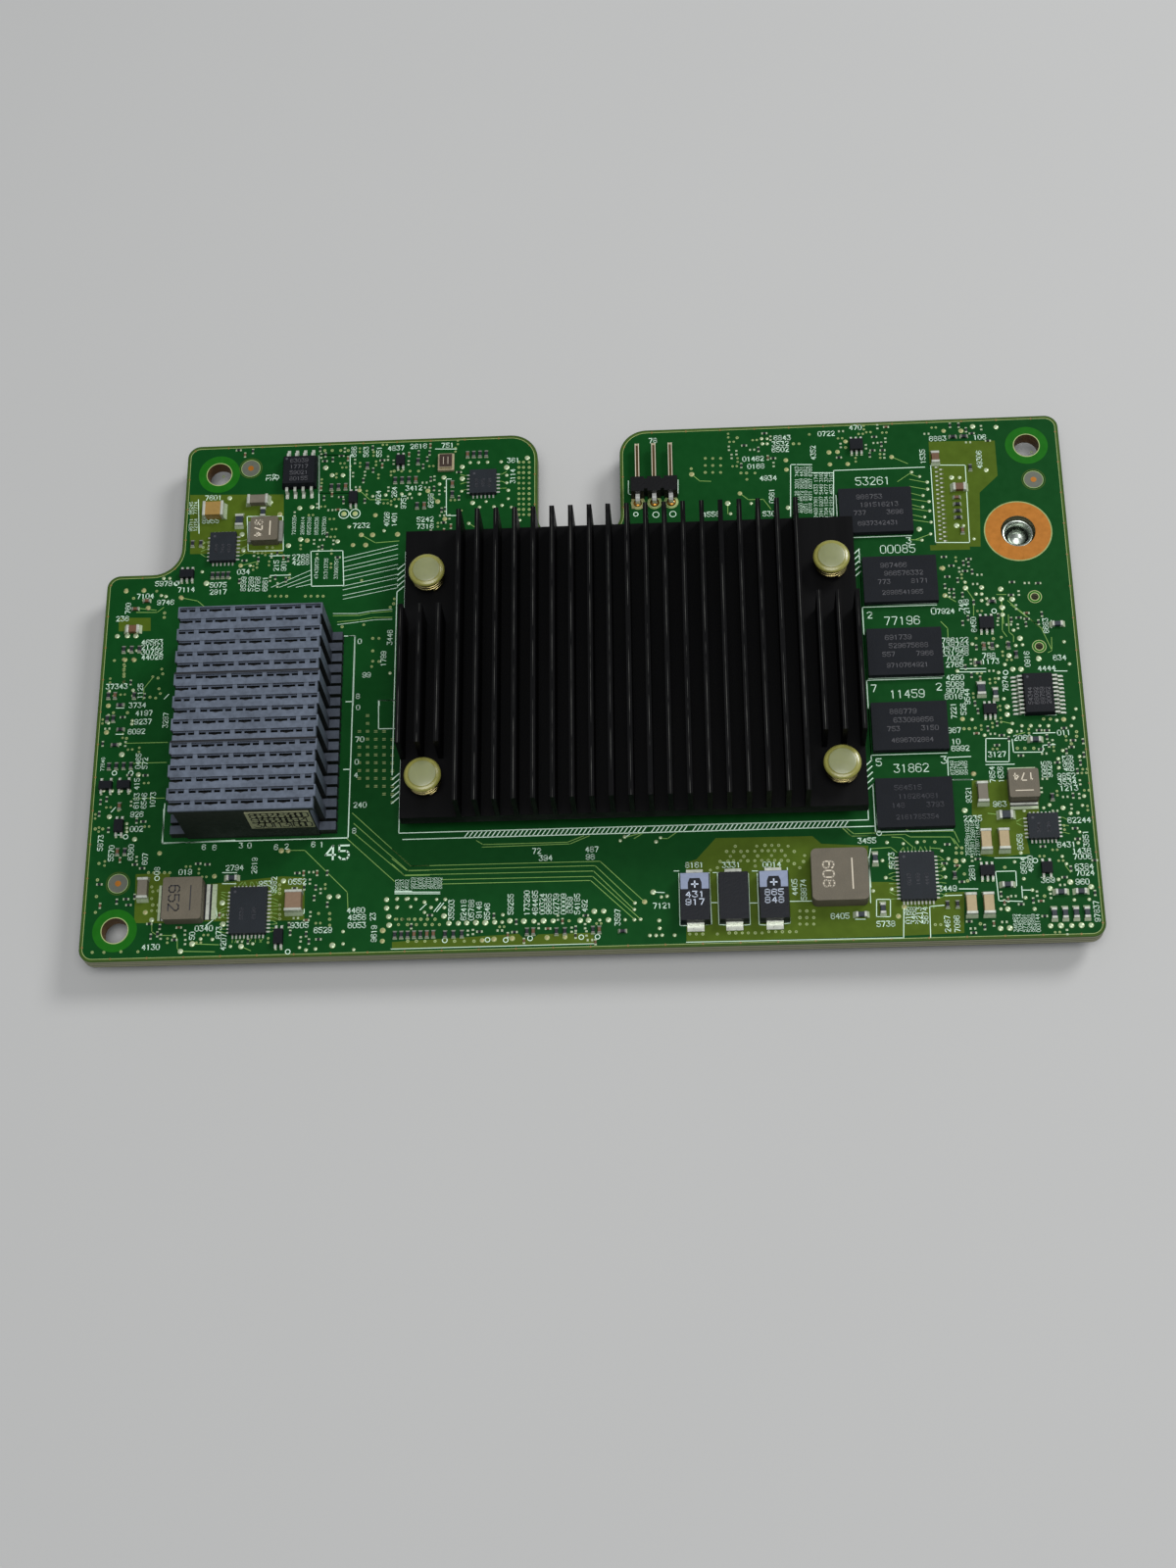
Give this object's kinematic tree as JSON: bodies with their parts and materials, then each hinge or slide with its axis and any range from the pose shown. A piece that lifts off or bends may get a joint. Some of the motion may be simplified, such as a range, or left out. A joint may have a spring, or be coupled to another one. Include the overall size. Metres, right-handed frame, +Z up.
{
  "type": "mezzanine network card",
  "caption": "Stepped and notched green circuit board with a finned black heat sink on push pins, a tall stacked wafer connector, memory packages and power parts.",
  "frame": {"origin": "centre of the card's outline, at the height of the push pins' tips that the card rests on", "axes": "+X to the right along the long edge, +Y to the back edge that has the open notch, +Z up out of the populated face"},
  "size_m": [0.146, 0.0844, 0.0169],
  "materials": {
    "board": "green solder mask, satin gloss",
    "laminate": "matt laminate",
    "lid_metal": "plated metal lid",
    "thermal_pad": "soft grey pad",
    "heat_sink": "black anodised",
    "pin_plastic": "pale yellow moulded plastic",
    "spring_steel": "bright wire",
    "connector": "matt dark grey moulding",
    "label": "pale yellow green film, no print",
    "memory_package": "matt moulded package",
    "package": "matt moulded package",
    "polymer_case": "matt moulded case",
    "tinned": "tinned metal",
    "header_plastic": "matt black plastic",
    "gold_pin": "bright gold plating",
    "sleeve_metal": "machined, plated",
    "screw_steel": "bright plated steel",
    "inductor_core": "matt pressed powder core",
    "oscillator_can": "metal lid",
    "tan_ceramic": "fired ceramic",
    "grey_ceramic": "fired ceramic",
    "brown_ceramic": "fired ceramic",
    "resistor_black": "dark glazed film",
    "tiny_ceramic": "fired ceramic with tinned ends"
  },
  "bodies": {
    "root": {"brown_capacitors": "brown_ceramic", "captive_screw": "screw_steel", "chip_lid": "lid_metal", "chip_substrate": "laminate", "circuit_board": "board", "connector_label": "label", "connector_module_1": "connector", "connector_module_2": "connector", "connector_module_3": "connector", "eight_lead_body": "package", "eight_leads": "tinned", "flat_package_back_left": "package", "flat_package_front_left": "package", "flat_package_front_right": "package", "flat_package_middle": "package", "flat_package_right": "package", "grey_capacitors": "grey_ceramic", "header_body": "header_plastic", "header_pins": "gold_pin", "heat_sink": "heat_sink", "inductor_back_left": "inductor_core", "inductor_front_left": "inductor_core", "inductor_front_right": "inductor_core", "inductor_right": "inductor_core", "inductor_terminals": "tinned", "memory_chip_1": "memory_package", "memory_chip_2": "memory_package", "memory_chip_3": "memory_package", "memory_chip_4": "memory_package", "memory_chip_5": "memory_package", "oscillator": "oscillator_can", "polymer_capacitor_1": "polymer_case", "polymer_capacitor_2": "polymer_case", "polymer_capacitor_3": "polymer_case", "polymer_leads": "tinned", "push_pin_springs": "spring_steel", "push_pins": "pin_plastic", "resistors": "resistor_black", "screw_sleeve": "sleeve_metal", "tan_capacitors": "tan_ceramic", "thermal_pad": "thermal_pad", "tiny_parts": "tiny_ceramic", "transistor_bodies": "package", "transistor_leads": "tinned", "twenty_lead_body": "package", "twenty_leads": "tinned"}
  },
  "joints": []
}
